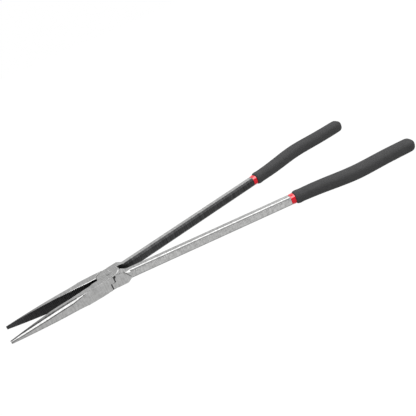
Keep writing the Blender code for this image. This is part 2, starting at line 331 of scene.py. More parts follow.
class Graph:
    """The nodes of one material or of the world."""

    def __init__(self, owner):
        owner.use_nodes = True
        self.tree = owner.node_tree
        self.tree.nodes.clear()

    def add(self, kind, settings=None, sockets=None, out=0):
        """Adds a node, sets it up, fills or links its sockets, and returns one of its outputs."""
        node = self.tree.nodes.new(kind)
        for name, value in (settings or {}).items():
            if name == "stops":
                self._set_stops(node.color_ramp, value)
            else:
                setattr(node, name, value)
        for key, value in (sockets or {}).items():
            self._fill(node.inputs[key], value)
        return Maths(self, node.outputs[out]) if len(node.outputs) else None

    def _fill(self, socket, value):
        if isinstance(value, Maths):
            self.tree.links.new(value.socket, socket)
        else:
            socket.default_value = value

    def _set_stops(self, ramp, stops):
        while len(ramp.elements) < len(stops):
            ramp.elements.new(0.5)
        for element, (place, level) in zip(ramp.elements, stops):
            element.position = place
            element.color = (level, level, level, 1)

    def noise(self, place, scale, detail=2.0, roughness=0.5):
        sockets = {"Vector": place, "Scale": scale, "Detail": detail, "Roughness": roughness}
        return self.add("ShaderNodeTexNoise", {}, sockets, out="Fac")

    def ramp(self, share, stops):
        """Reads a row of stops, each a place from 0 to 1 and a level, and goes straight between them."""
        return self.add("ShaderNodeValToRGB", {"stops": stops}, {"Fac": share})

    def ramp_mm(self, length, span, stops):
        """The same over a length, with the stops' places in millimetres from 0 to span."""
        return self.ramp(length / (span * MM), [(place / span, level) for place, level in stops])

    def blend(self, share, first, second):
        """Mixes two colours."""
        sockets = {0: share, 6: first, 7: second}
        return self.add("ShaderNodeMix", {"data_type": "RGBA", "clamp_factor": True}, sockets, out=2)

    def absolute(self, value):
        return self.add("ShaderNodeMath", {"operation": "ABSOLUTE"}, {0: value})

    def part(self, place, axis):
        return self.add("ShaderNodeSeparateXYZ", {}, {0: place}, out=axis)

    def parts(self, place):
        return [self.part(place, axis) for axis in "XYZ"]

    def scaled(self, place, factors):
        """Coordinates stretched by one factor per axis."""
        sockets = {0: place, 1: factors}
        return self.add("ShaderNodeVectorMath", {"operation": "MULTIPLY"}, sockets)

    def half_coordinates(self, side):
        """Object coordinates turned to the closed tool and measured from the rivet."""
        place = self.add("ShaderNodeTexCoord", out="Object")
        turn = half_place(side).to_euler()
        sockets = {"Vector": place, "Location": PIVOT, "Rotation": turn}
        return self.add("ShaderNodeMapping", {"vector_type": "TEXTURE"}, sockets)

    def rays(self):
        """Whether a ray comes from the eye, also through glass, and whether it is a mirrored one."""
        path = "ShaderNodeLightPath"
        seen = self.add(path, out="Is Camera Ray") + self.add(path, out="Is Transmission Ray")
        return seen, self.add(path, out="Is Glossy Ray")

    def bump(self, height, depth):
        sockets = {"Height": height, "Distance": depth, "Strength": 1.0}
        return self.add("ShaderNodeBump", {}, sockets)

    def finish(self, shader):
        self.add("ShaderNodeOutputMaterial", {}, {"Surface": shader})


def rgba(colour, factor):
    """A colour made lighter or darker, as a socket takes it."""
    return (*[part * factor for part in colour], 1)


def rim_end(sizes):
    """Distance along the tool from the rivet to where the plate's rim meets the head's flat side."""
    return math.sqrt(sizes.head_radius**2 - sizes.head_flat**2)


def dark_reflection_line(graph, along, out, up):
    """The painted dark reflection line along the bar beside its outer face, on the lower part of each
    chamfer.
    """
    sizes = bpy.context.scene.pliers_sizes
    off = out - (along - sizes.bar_start) * math.tan(sizes.bar_splay) - sizes.bar_offset
    beside_face = graph.ramp_mm(off, 10, ((3.0, 0), (3.6, 1)))
    return beside_face * graph.ramp_mm(graph.absolute(up), 10, ((3.85, 0), (4.15, 1), (5.15, 1), (5.7, 0)))


def seam_painted_shade(graph, along, out, up):
    """Painted shade along the lap's seam where it comes out on the tool's side, and a painted shadow spot
    at the shoulder's corner.
    """
    sizes = bpy.context.scene.pliers_sizes
    seam = rim_end(sizes)
    aside = graph.absolute(out)
    # The seam is on the jaw's side of the rivet where this is 1, and on the handle's where it is -1
    quarter = graph.add("ShaderNodeMath", {"operation": "SIGN"}, {0: out * up})
    near_seam = graph.ramp_mm(graph.absolute(along * quarter + seam), 10, ((0.6, 1), (1.1, 0)))
    on_flat = graph.ramp_mm(aside, 20, ((15.1, 0), (15.4, 1)))
    corner_shade_height = HALF_HEAD - 2.0 * MM
    corner_shade_place = seam + 1.2 * MM
    off_height = graph.absolute(corner_shade_height - graph.absolute(up))
    off_place = graph.absolute(along - corner_shade_place) + graph.absolute(aside - sizes.head_flat) * 2
    # Painted shadow spot in the shoulder's corner beside the seam
    corner_shade = graph.ramp_mm(off_place + off_height, 10, ((1.6, 1), (3.2, 0)))
    return near_seam * on_flat * (0.8 - quarter * 0.2) + corner_shade * (0.5 - quarter * 0.5)


def rim_run_out(graph, along, out, up):
    """Where the rim runs out on the head's flat side, which is left dull."""
    by_flat = graph.ramp_mm(graph.absolute(out), 20, ((12.4, 0), (14.4, 1)))
    by_rivet = graph.ramp_mm(graph.absolute(along), 20, ((7, 1), (10, 0)))
    return by_flat * by_rivet * graph.ramp_mm(graph.absolute(up), 10, ((8.0, 0), (8.3, 1)))


def root_crease_shade(graph, along, out, up):
    """Painted shade along the forging crease aslant across the handle's root, where the head steps down to
    the bar.
    """
    lean = math.radians(32.67)
    off = (along - 20 * MM) * math.cos(lean) - (up + 9 * MM) * math.sin(lean)
    on_crease = graph.ramp_mm(graph.absolute(off), 10, ((0.35, 1), (0.8, 0)))
    on_root = graph.ramp_mm(out, 20, ((12.4, 0), (14, 1)))
    return on_crease * on_root * graph.ramp_mm(up, 20, ((2, 1), (3.6, 0)))


def forge_scale_and_shade(graph, along, ribs, clouds):
    """Colour of the dark forge finish, with painted shade on the gripping face and in the handles' crotch,
    at each distance along the tool.
    """
    colours = bpy.context.scene.pliers_colours
    sizes = bpy.context.scene.pliers_sizes
    ridges = 0.5 + (ribs - 0.5) * 1.8 + (clouds - 0.5) * 0.8
    scale = graph.blend(ridges, rgba(colours.scale, 0.7), rgba(colours.scale, 2.9))
    # Painted shade: the gripping face is darkened most at the root of the jaw, where the other jaw is
    # close, and less towards its tip
    jaw_face_shade = graph.ramp(along / -sizes.jaw_length, (
        (0.0, 0.72), (0.01, 0.07), (0.33, 0.3), (0.48, 0.38), (0.65, 0.37), (0.8, 0.55), (0.95, 1.0),
    ))
    # Painted shade: the bar's inner face is darkened almost to black in the crotch of the handles, and
    # lightest just outside it
    on_bar = graph.ramp_mm(along, 200, (
        (14, 1.0), (20, 0.12), (28, 0.4), (40, 1.35), (60, 1.3), (100, 1.0),
    ))
    return graph.blend(jaw_face_shade * on_bar, (0, 0, 0, 1), scale)


def ground_steel(side):
    """Satin steel, ground across its length, left dark on the faces towards the other half, with painted
    shade at the seam, the root and the crotch, and painted dark reflection lines on the bars and the jaws'
    facets.
    """
    colours = bpy.context.scene.pliers_colours
    sizes = bpy.context.scene.pliers_sizes
    material = bpy.data.materials.new(f"Ground steel, {side} half")
    graph = Graph(material)
    place = graph.half_coordinates(side)
    along, out, up = graph.parts(place)
    scratches = graph.noise(graph.scaled(place, (2600, 60, 60)), 1.0, 3.0, 0.6)
    ribs = graph.noise(graph.scaled(place, (560, 60, 60)), 1.0, 1.0)
    clouds = graph.noise(place, 300.0, 4.0, 0.6)
    dark = graph.add("ShaderNodeAttribute", {"attribute_name": "dark_finish"}, out="Fac")

    on_bar = graph.ramp_mm(along - sizes.bar_start, 10, ((0, 0), (1, 1)))
    # Painted dark reflection: a dark line along the lower part of the bar's outer chamfers
    dull = dark_reflection_line(graph, along, out, up) * on_bar
    painted_shade = seam_painted_shade(graph, along, out, up)
    crease = root_crease_shade(graph, along, out, up)
    root_shade = graph.ramp_mm(along, 100, ((20, 0.1), (40, 0)))
    tone = 0.5 + (ribs - 0.5) * 0.9 + (clouds - 0.5) * (1.3 + on_bar * 0.9) + (scratches - 0.5) * 1.2
    steel = graph.blend(tone, rgba(colours.steel, 0.74), rgba(colours.steel, 1.28))
    # Painted shade and painted dark reflection darken the steel: the bar's dark line, the seam, the root's
    # crease and an even shade near the root
    shade = dull * 0.76 + painted_shade * 0.85 + crease * 0.6 + root_shade
    steel = graph.blend(shade, steel, rgba(colours.steel, 0.02))

    satin = 0.19 + scratches * 0.1 + clouds * 0.06
    matte_root = graph.ramp_mm(along, 100, ((15, 0), (20, 0.7), (45, 0.7), (65, 0)))
    run_out = rim_run_out(graph, along, out, up)
    sockets = {
        "Base Color": graph.blend(dark, steel, forge_scale_and_shade(graph, along, ribs, clouds)),
        "Metallic": 1.0 - dark * 0.45,
        "Roughness": satin + dark * (0.15 + matte_root * 0.35) + run_out * 0.4,
        "Normal": graph.bump(scratches + ribs * 1.5, 0.012 * MM),
    }
    graph.finish(graph.add("ShaderNodeBsdfPrincipled", {}, sockets))
    return material


def red_plastic():
    """Moulded plastic, a little uneven in colour and glossiest beside its corners."""
    colours = bpy.context.scene.pliers_colours
    material = bpy.data.materials.new("Red sleeve plastic")
    graph = Graph(material)
    place = graph.add("ShaderNodeTexCoord", out="Object")
    flow = graph.noise(place, 260.0, 2.0)
    from_middle = graph.absolute(graph.part(place, "Z") - PIVOT.z)
    beside_corner = graph.ramp_mm(from_middle, 10, ((4.0, 0), (4.8, 1), (6.4, 1), (7.0, 0.45)))
    sockets = {
        "Base Color": graph.blend(flow, rgba(colours.red, 0.8), rgba(colours.red, 1.15)),
        "Roughness": 0.14 + flow * 0.08,
        "IOR": 1.4,
        "Coat Weight": beside_corner,
        "Coat IOR": 2.1,
        "Coat Roughness": 0.1,
        "Normal": graph.bump(flow, 0.05 * MM),
    }
    graph.finish(graph.add("ShaderNodeBsdfPrincipled", {}, sockets))
    return material


def black_foam():
    """Matte grip with the fine closed cells of dipped foam rubber."""
    colours = bpy.context.scene.pliers_colours
    material = bpy.data.materials.new("Black grip rubber")
    graph = Graph(material)
    place = graph.add("ShaderNodeTexCoord", out="Object")
    cells = graph.add("ShaderNodeTexVoronoi", {"feature": "F1"}, {"Vector": place, "Scale": 900.0})
    grain = graph.noise(place, 1500.0, 2.0, 0.6)
    clouds = graph.noise(place, 120.0, 3.0, 0.55)
    tone = 0.5 + (clouds - 0.5) * 0.9 + (grain - 0.5) * 0.8
    sockets = {
        "Base Color": graph.blend(tone, rgba(colours.black, 0.7), rgba(colours.black, 1.35)),
        "Roughness": 0.62 + grain * 0.2,
        "Normal": graph.bump(cells * 0.7 + grain * 0.6, 0.16 * MM),
    }
    graph.finish(graph.add("ShaderNodeBsdfPrincipled", {}, sockets))
    return material


# ---------------------------------------------------------------- modelling helpers


def half_place(side):
    """Where a piece modelled on the closed upper half goes on this half."""
    if side == "upper":
        return Matrix.Translation(PIVOT) @ Matrix.Rotation(SWING, 4, "Z")
    turned_over = Matrix.Rotation(math.pi, 4, "X")
    return Matrix.Translation(PIVOT) @ Matrix.Rotation(-SWING, 4, "Z") @ turned_over


def pick(obj):
    """Makes obj the only selected object, and the active one."""
    bpy.ops.object.select_all(action="DESELECT")
    obj.select_set(True)
    bpy.context.view_layer.objects.active = obj


def name_new_piece(name):
    """Names the object that an operator has just added."""
    piece = bpy.context.object
    piece.name = name
    piece.data.name = name
    return piece


def select_faces(piece, wanted):
    """Selects the faces for which wanted(face) holds, in edit mode."""
    bpy.ops.mesh.select_all(action="DESELECT")
    bm = bmesh.from_edit_mesh(piece.data)
    for face in bm.faces:
        if wanted(face):
            face.select_set(True)
    bmesh.update_edit_mesh(piece.data)


def select_edges(piece, wanted):
    """Selects the edges for which wanted(edge) holds, in edit mode."""
    bpy.ops.mesh.select_mode(type="EDGE")
    bpy.ops.mesh.select_all(action="DESELECT")
    bm = bmesh.from_edit_mesh(piece.data)
    bm.normal_update()
    for edge in bm.edges:
        if wanted(edge):
            edge.select_set(True)
    bmesh.update_edit_mesh(piece.data)


def runs_along(edge):
    """Whether an edge runs along the tool rather than across it."""
    return abs((edge.verts[0].co - edge.verts[1].co).normalized().x) > 0.7


def apply_modifier(piece, kind, **settings):
    """Adds a modifier, sets it up and applies it at once."""
    modifier = piece.modifiers.new(kind.title(), kind)
    for name, value in settings.items():
        setattr(modifier, name, value)
    pick(piece)
    bpy.ops.object.modifier_apply(modifier=modifier.name)


def copy_piece(piece, name):
    """Links a copy of a piece and of its mesh."""
    copy = piece.copy()
    copy.data = piece.data.copy()
    copy.name = name
    copy.data.name = name
    bpy.context.scene.collection.objects.link(copy)
    return copy


def put_on_half(piece, side, node, material):
    """Places a piece modelled on the closed tool, gives it its finish and makes it ride."""
    piece.matrix_world = half_place(side)
    pick(piece)
    bpy.ops.object.transform_apply(location=True, rotation=True, scale=True)
    dress(piece, side, node, material)


def dress(piece, body, node, material):
    """Gives a piece its finish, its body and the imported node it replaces."""
    piece.data.materials.clear()
    piece.data.materials.append(material)
    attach(piece, body)
    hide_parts(node)


def grown(distance, start, length):
    """Share that is 0 up to start and grows to 1 over length."""
    return min(max((distance - start) / length, 0.0), 1.0)


def handle_line(x):
    """Middle of the bar at x: a straight run, then the bow inside the grip."""
    sizes = bpy.context.scene.pliers_sizes
    bore_end = sizes.grip_end - sizes.grip_end_wall
    share = grown(x, sizes.grip_start, bore_end - sizes.grip_start)
    bow = sizes.handle_bow * math.sin(math.pi * share) ** 4 - sizes.handle_turn_in * share**5
    return sizes.bar_offset + (x - sizes.bar_start) * math.tan(sizes.bar_splay) + bow


def draw_out(start, end, grow_y, grow_z):
    """Extrudes the selected end face from x = start to x = end along the handle, and resizes it."""
    step = Vector((end - start, handle_line(end) - handle_line(start), 0))
    bpy.ops.mesh.extrude_region_move(TRANSFORM_OT_translate={"value": step})
    centre = Vector((end, handle_line(end), 0))
    bpy.ops.transform.resize(value=(1, grow_y, grow_z), center_override=centre)


# ---------------------------------------------------------------- the steel halves


# How close two measures have to be to count as the same, on a flat side, along an edge and round the rim
ON_FLAT = 0.01 * MM
ON_EDGE = 0.05 * MM
ON_RIM = 0.03 * MM

# Distance from the rivet, then how deep the chamfer of the jaw's back cuts into its side and its back
JAW_BACK_STATIONS = (
    (36 * MM, 0.4 * MM, 0.4 * MM),
    (42 * MM, 0.9 * MM, 0.9 * MM),
    (50 * MM, 2.8 * MM, 2.5 * MM),
    (60 * MM, 3.9 * MM, 3.5 * MM),
    (97 * MM, 3.9 * MM, 3.5 * MM),
    (121 * MM, 3.3 * MM, 3.0 * MM),
    (137 * MM, 2.5 * MM, 2.2 * MM),
    (148 * MM, 1.8 * MM, 1.6 * MM),
)

# Distance from the rivet, then the share of the corner drop that is ground off there
CORNER_STATIONS = (
    (16 * MM, 0.0),
    (24 * MM, 1.0),
    (59 * MM, 1.0),
    (86 * MM, 0.0),
)


def at_distance(stations, distance):
    """Reads a table of stations at a distance from the rivet, going straight between two of them."""
    before = stations[0]
    for station in stations:
        if station[0] >= distance:
            share = (distance - before[0]) / max(station[0] - before[0], 1 * MM)
            return [low + (high - low) * share for low, high in zip(before[1:], station[1:])]
        before = station
    return before[1:]


def jaw_back_cut(distance, up):
    """Depth of the jaw's chamfer into its side and into its back; the lower one is ground less."""
    depth = 1.0 if up > 0 else bpy.context.scene.pliers_sizes.lower_chamfer
    return [depth * cut for cut in at_distance(JAW_BACK_STATIONS, distance)]


def rings_of(piece, to_closed, jaw_from, bar_from):
    """Groups the vertices of the jaw and of the bar by their distance along the closed tool."""
    rings = {}
    for vertex in piece.data.vertices:
        here = to_closed @ vertex.co
        if here.x < -jaw_from or here.x > bar_from:
            rings.setdefault(round(here.x / ON_EDGE), []).append((vertex, here))
    return rings.values()


def reshape_flanks(piece, side):
    """Grinds the chamfers of the jaw's back, and one of the bar's, to their finished width."""
    sizes = bpy.context.scene.pliers_sizes
    place = half_place(side)
    jaw_from = JAW_BACK_STATIONS[0][0] - 0.5 * MM
    bar_from = sizes.bar_start - 0.1 * MM
    least_back = 2.5 * MM
    corner = sizes.bar_width / 2 - sizes.bar_chamfer
    for ring in rings_of(piece, place.inverted(), jaw_from, bar_from):
        back = max(-here.y for vertex, here in ring)
        top = max(abs(here.z) for vertex, here in ring)
        for vertex, here in ring:
            off = here.y - handle_line(here.x)
            on_side = abs(abs(here.z) - top) < ON_FLAT
            if here.x < 0 and back > least_back and here.y < -back / 2:
                into_side, into_back = jaw_back_cut(-here.x, here.z)
                if on_side:
                    here.y = into_back - back
                else:
                    here.z = math.copysign(top - into_side, here.z)
            elif here.x > 0 and on_side and here.z < 0 and abs(off - corner) < ON_EDGE:
                here.y -= sizes.bar_flank
            vertex.co = place @ here


def lower_corner(piece, side):
    """Grinds the corner beside the gripping face down, on the plate's side and near the jaw's root."""
    sizes = bpy.context.scene.pliers_sizes
    place = half_place(side)
    to_closed = place.inverted()
    near_side = 6 * MM
    near_grip_face = -1.6 * MM
    for vertex in piece.data.vertices:
        here = to_closed @ vertex.co
        share = at_distance(CORNER_STATIONS, -here.x)[0]
        if share > 0 and here.z > near_side and here.y > near_grip_face:
            here.z -= sizes.corner_drop * share
            vertex.co = place @ here


def ease_rim(piece, side):
    """Grinds the round plate's rim to a broad, shallow slope."""
    sizes = bpy.context.scene.pliers_sizes
    place = half_place(side)
    to_closed = place.inverted()
    inner = sizes.head_radius - sizes.rim_bevel
    for vertex in piece.data.vertices:
        here = to_closed @ vertex.co
        radius = math.hypot(here.x, here.y)
        below_face = HALF_HEAD - abs(here.z)
        if abs(radius - sizes.head_radius) < ON_RIM and abs(below_face - sizes.rim_bevel) < ON_RIM:
            here.z = math.copysign(HALF_HEAD - sizes.rim_depth, here.z)
        elif abs(radius - inner) < ON_RIM and below_face < ON_FLAT:
            here.xy *= (sizes.head_radius - sizes.rim_width) / radius
        vertex.co = place @ here


def weld_copy(node, name, side):
    """Copies a packed half, merges its triangles, grinds it and clears the lines on its flat faces."""
    piece = bpy.data.objects.new(name, frame["nodes"][node].data.copy())
    piece.data.name = name
    bpy.context.scene.collection.objects.link(piece)
    pick(piece)
    bpy.ops.mesh.customdata_custom_splitnormals_clear()
    bpy.ops.object.mode_set(mode="EDIT")
    bpy.ops.mesh.select_all(action="SELECT")
    bpy.ops.mesh.remove_doubles(threshold=0.002 * MM)
    bpy.ops.object.mode_set(mode="OBJECT")
    reshape_flanks(piece, side)
    lower_corner(piece, side)
    ease_rim(piece, side)
    bpy.ops.object.mode_set(mode="EDIT")
    bpy.ops.mesh.select_all(action="SELECT")
    bpy.ops.mesh.dissolve_limited(angle_limit=math.radians(0.4))
    bpy.ops.object.mode_set(mode="OBJECT")
    return piece


def flank_width(a, b, normals):
    """Width of the worn facet beside a chamfer of the jaw's back, or 0 for any other edge."""
    sizes = bpy.context.scene.pliers_sizes
    turned = [-normal.y for normal in normals]
    crosses_jaw = abs(a.x - b.x) < 1 * MM
    if a.x > -sizes.jaw_root or crosses_jaw or min(turned) < -0.2 or max(turned) < 0.5:
        return 0.0
    into_side, into_back = jaw_back_cut(-(a.x + b.x) / 2, a.z)
    return sizes.jaw_flank * into_side if max(turned) > 0.85 else sizes.jaw_shoulder * into_back


def fine_width(a, b, normals):
    """Width of the fine rounding left on every other long edge that turns by 30 degrees or more."""
    sizes = bpy.context.scene.pliers_sizes
    on_grip_face = a.x < -sizes.jaw_root and max(a.y, b.y) > -1.2 * MM
    near_middle = min(abs(a.z), abs(b.z)) < 1.0 * MM
    inside_lap = near_middle and math.hypot(a.x, a.y) < sizes.jaw_root * 1.02
    near_face = min(abs(a.z), abs(b.z)) > 8.5 * MM
    at_rim_end = near_face and all(abs(abs(end.x) - rim_end(sizes)) < 0.3 * MM for end in (a, b))
    too_short = (a - b).length < 3 * sizes.edge_round
    too_blunt = normals[0].angle(normals[1]) < math.radians(30)
    if on_grip_face or inside_lap or at_rim_end or too_short or too_blunt:
        return 0.0
    return sizes.edge_round


def bevel_by_width(piece, side, width_of, **settings):
    """Bevels each edge by the width that width_of gives it in the closed tool."""
    to_closed = half_place(side).inverted()
    turn = to_closed.to_3x3()
    bm = bmesh.new()
    bm.from_mesh(piece.data)
    bm.normal_update()
    widths = []
    for edge in bm.edges:
        ends = [to_closed @ vertex.co for vertex in edge.verts]
        normals = [turn @ face.normal for face in edge.link_faces]
        widths.append(width_of(*ends, normals))
    layers = bm.edges.layers.float
    weight = layers.get("bevel_weight_edge") or layers.new("bevel_weight_edge")
    for edge, width in zip(bm.edges, widths):
        edge[weight] = width / max(widths)
    bm.to_mesh(piece.data)
    bm.free()
    settings.update(limit_method="WEIGHT", width=max(widths), use_clamp_overlap=False)
    apply_modifier(piece, "BEVEL", **settings)


def dark_share(centre, normal, x):
    """How much of the dark forge finish the grinder left on a face, at one of its corners, with painted
    shade and painted dark reflection added on some faces.
    """
    sizes = bpy.context.scene.pliers_sizes
    outward = normal.y * (-1 if centre.x < 0 else 1)
    rise = abs(normal.z)
    tilt = math.degrees(math.atan2(rise, outward))
    past_rim = math.hypot(centre.x, centre.y) - sizes.head_radius
    past_root = math.hypot(centre.x, centre.y) > sizes.jaw_root * 0.93
    # The jaw's and the bar's inner faces stay dark, apart from the broken edges near the jaw's root
    if past_root and outward < -0.35:
        on_broken_edge = centre.x < 0 and outward > -0.85
        return grown(-x, sizes.bare_break, 25 * MM) if on_broken_edge else 1.0
    # The eased edge of the recess round the plate, on the handle's side, is darkened fully as painted shade
    # beside the seam
    if centre.x > 0 and 0.2 * MM < past_rim < 0.9 * MM and 0.3 < rise < 0.9:
        return 1.0
    # The flat sides darken towards the jaw's tip
    if rise > 0.9:
        return 0.9 * grown(-x, 85 * MM, 45 * MM)
    # The head's chamfers keep a little of it
    at_head = -sizes.chamfer_end < centre.x < sizes.bar_start - 8 * MM
    if at_head and 0.3 < outward < 0.9 and rise > 0.3:
        return 0.2
    # The worn facets of the jaw's back are darkened more, as a painted dark reflection, most of all the one
    # beside the flat side
    if centre.x < -sizes.chamfer_end and 12 < tilt < 33:
        return 0.35
    if centre.x < -sizes.chamfer_end and 57 < tilt < 78:
        return 0.65 + 0.3 * grown(-x, 50 * MM, 20 * MM)
    # Past 143 mm is the jaw's very tip
    return 0.25 if x < -143 * MM else 0.0


def mark_dark_finish(piece, side):
    """Stores each face corner's share of the dark finish and of the painted shade, for the steel's material
    to read.
    """
    to_closed = half_place(side).inverted()
    turn = to_closed.to_3x3()
    mark = piece.data.attributes.new("dark_finish", "FLOAT", "CORNER")
    for face in piece.data.polygons:
        centre = to_closed @ face.center
        normal = turn @ face.normal
        for corner, index in zip(face.loop_indices, face.vertices):
            here = to_closed @ piece.data.vertices[index].co
            mark.data[corner].value = dark_share(centre, normal, here.x)


class PLIERS_OT_steel_halves(Operator):
    """Finish both forged halves: rounded edges, ground outer faces and dark inner faces"""

    bl_idname = "pliers.steel_halves"
    bl_label = "Finish the steel halves"

    def execute(self, context):
        for side in SIDES:
            piece = weld_copy(f"{side}_half", f"{side}_half_ground", side)
            bevel_by_width(piece, side, flank_width, segments=4, profile=0.35)
            bevel_by_width(piece, side, fine_width, segments=3)
            mark_dark_finish(piece, side)
            pick(piece)
            bpy.ops.object.shade_smooth_by_angle(angle=math.radians(18))
            apply_modifier(piece, "WEIGHTED_NORMAL", keep_sharp=True, weight=100)
            dress(piece, side, f"{side}_half", ground_steel(side))
        return {"FINISHED"}


# ---------------------------------------------------------------- the rivet


class PLIERS_OT_rivet(Operator):
    """Turn the rivet: two countersunk heads that fill their holes, ground flush"""

    bl_idname = "pliers.rivet"
    bl_label = "Turn the rivet"

    def execute(self, context):
        sizes = context.scene.pliers_sizes
        shank_half = HALF_HEAD - sizes.rivet_sink
        bpy.ops.mesh.primitive_cylinder_add(vertices=64, radius=sizes.rivet_shank, depth=2 * shank_half)
        piece = name_new_piece("flush_rivet")
        bpy.ops.object.mode_set(mode="EDIT")
        for end in (1, -1):
            bpy.ops.mesh.select_mode(type="FACE")
            select_faces(piece, lambda face: face.normal.z * end > 0.9)
            step = (0, 0, end * sizes.rivet_sink)
            grow = sizes.rivet_radius / sizes.rivet_shank
            bpy.ops.mesh.extrude_region_move(TRANSFORM_OT_translate={"value": step})
            bpy.ops.transform.resize(value=(grow, grow, 1), center_override=(0, 0, end * HALF_HEAD))
            bpy.ops.mesh.bevel(offset=0.15 * MM, segments=2, affect="EDGES")
        bpy.ops.object.mode_set(mode="OBJECT")
        piece.matrix_world = Matrix.Translation(PIVOT)
        pick(piece)
        bpy.ops.object.transform_apply(location=True, rotation=True, scale=True)
        bpy.ops.object.shade_smooth_by_angle(angle=math.radians(30))
        dress(piece, "lower", "pivot_rivet", ground_steel("upper"))
        return {"FINISHED"}


# ---------------------------------------------------------------- the red sleeves

# Place along the band, from its front, and how far the sleeve stands off the tang there
BAND_STATIONS = (
    (0.0, 1.2 * MM),
    (0.12, 1.5 * MM),
    (0.5, 1.62 * MM),
    (0.88, 1.9 * MM),
    (1.0, 1.8 * MM),
)
SLEEVE_STEP = 0.3 * MM  # length over which the band narrows to the tube inside the grip
SLEEVE_WALL = 0.9 * MM  # and that tube's wall
SLEEVE_IN_GRIP = 30 * MM


class PLIERS_OT_red_sleeves(Operator):
    """Draw out the red sleeves: a flared octagonal band ahead of each grip"""

    bl_idname = "pliers.red_sleeves"
    bl_label = "Draw out the red sleeves"

    def execute(self, context):
        piece = self.model(context.scene.pliers_sizes)
        material = red_plastic()
        for side in SIDES:
            sleeve = copy_piece(piece, f"{side}_red_sleeve")
            put_on_half(sleeve, side, f"{side}_inner_sleeve", material)
        bpy.data.objects.remove(piece)
        return {"FINISHED"}

    def model(self, sizes):
        """One sleeve in the closed tool, drawn out from a plane with its corners cut."""
        start = sizes.band_start
        stand_off = BAND_STATIONS[0][1]
        width = sizes.tang_width + 2 * stand_off
        place = (start, handle_line(start), 0)
        bpy.ops.mesh.primitive_plane_add(size=width, location=place, rotation=(0, math.radians(-90), 0))
        piece = name_new_piece("red_sleeve")
        bpy.ops.object.transform_apply(location=True, rotation=True, scale=True)
        bpy.ops.object.mode_set(mode="EDIT")
        bpy.ops.mesh.select_all(action="SELECT")
        tang_chamfer = sizes.bar_chamfer * sizes.tang_width / sizes.bar_width
        corner = tang_chamfer + stand_off * (2 - math.sqrt(2))
        bpy.ops.mesh.bevel(offset=corner, segments=1, affect="VERTICES")
        bpy.ops.mesh.select_all(action="SELECT")
        here = start
        for share, wall in BAND_STATIONS[1:]:
            there = start + sizes.band_length * share
            grow = (sizes.tang_width + 2 * wall) / width
            draw_out(here, there, grow, grow)
            width = sizes.tang_width + 2 * wall
            here = there
        grow = (sizes.tang_width + 2 * SLEEVE_WALL) / width
        draw_out(here, here + SLEEVE_STEP, grow, grow)
        draw_out(here + SLEEVE_STEP, sizes.grip_start + SLEEVE_IN_GRIP, 1, 1)
        bpy.ops.mesh.select_all(action="SELECT")
        bpy.ops.mesh.normals_make_consistent(inside=False)
        select_edges(piece, runs_along)
        bpy.ops.mesh.bevel(offset=0.8 * MM, segments=3, affect="EDGES")
        bpy.ops.object.mode_set(mode="OBJECT")
        bpy.ops.object.shade_smooth_by_angle(angle=math.radians(40))
        return piece


# ---------------------------------------------------------------- the black grips

# Share of the grip's bore, then the grip's width and thickness there
GRIP_STATIONS = (
    (0.000, 16.6 * MM, 15.2 * MM),
    (0.016, 18.8 * MM, 17.0 * MM),
    (0.028, 19.4 * MM, 17.5 * MM),
    (0.040, 19.4 * MM, 17.5 * MM),
    (0.050, 18.9 * MM, 17.0 * MM),
    (0.060, 18.6 * MM, 16.8 * MM),
    (0.080, 18.7 * MM, 16.9 * MM),
    (0.140, 19.3 * MM, 17.3 * MM),
    (0.210, 20.1 * MM, 17.7 * MM),
    (0.310, 21.1 * MM, 18.1 * MM),
    (0.420, 21.9 * MM, 18.3 * MM),
    (0.500, 22.2 * MM, 18.4 * MM),
    (0.580, 22.3 * MM, 18.45 * MM),
    (0.680, 22.0 * MM, 18.4 * MM),
    (0.790, 21.7 * MM, 18.4 * MM),
    (0.900, 21.5 * MM, 18.3 * MM),
    (1.000, 21.3 * MM, 18.2 * MM),
)
GRIP_CORNER = 6.0 * MM
GRIP_END_STEPS = 6
GRIP_END_TURN = math.radians(84)  # how far round the closed end is drawn before its flat


